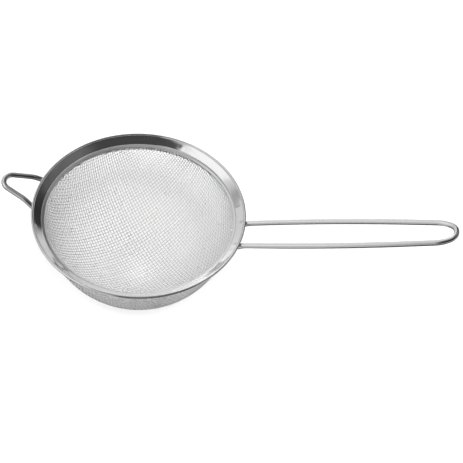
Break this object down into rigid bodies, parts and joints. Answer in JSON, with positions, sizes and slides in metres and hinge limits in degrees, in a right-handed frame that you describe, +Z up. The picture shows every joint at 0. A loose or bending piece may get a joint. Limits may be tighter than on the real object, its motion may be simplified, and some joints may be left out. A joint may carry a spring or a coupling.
{
  "type": "tea strainer",
  "caption": "Round tea strainer: woven wire bowl clamped in a sheet steel rim, with a long wire loop handle and a short wire rest loop.",
  "frame": {"origin": "centre of the bowl's mouth, in the plane of the top of the rim", "axes": "+Z up out of the mouth along the bowl's axis; +X from the bowl's axis towards the handle's tip; the rest loop is on the -X side"},
  "size_m": [0.1683, 0.08, 0.0619],
  "materials": {
    "rim_steel": "polished",
    "clamp_steel": "satin",
    "cloth_steel": "bright drawn wire",
    "wire_steel": "polished",
    "weld_steel": "dull, heat tinted"
  },
  "bodies": {
    "root": {"rim_band": "rim_steel", "clamp_ring": "clamp_steel", "mesh_bowl": "cloth_steel", "handle_loop": "wire_steel", "handle_welds": "weld_steel", "rest_loop": "wire_steel", "rest_loop_welds": "weld_steel"}
  },
  "joints": []
}
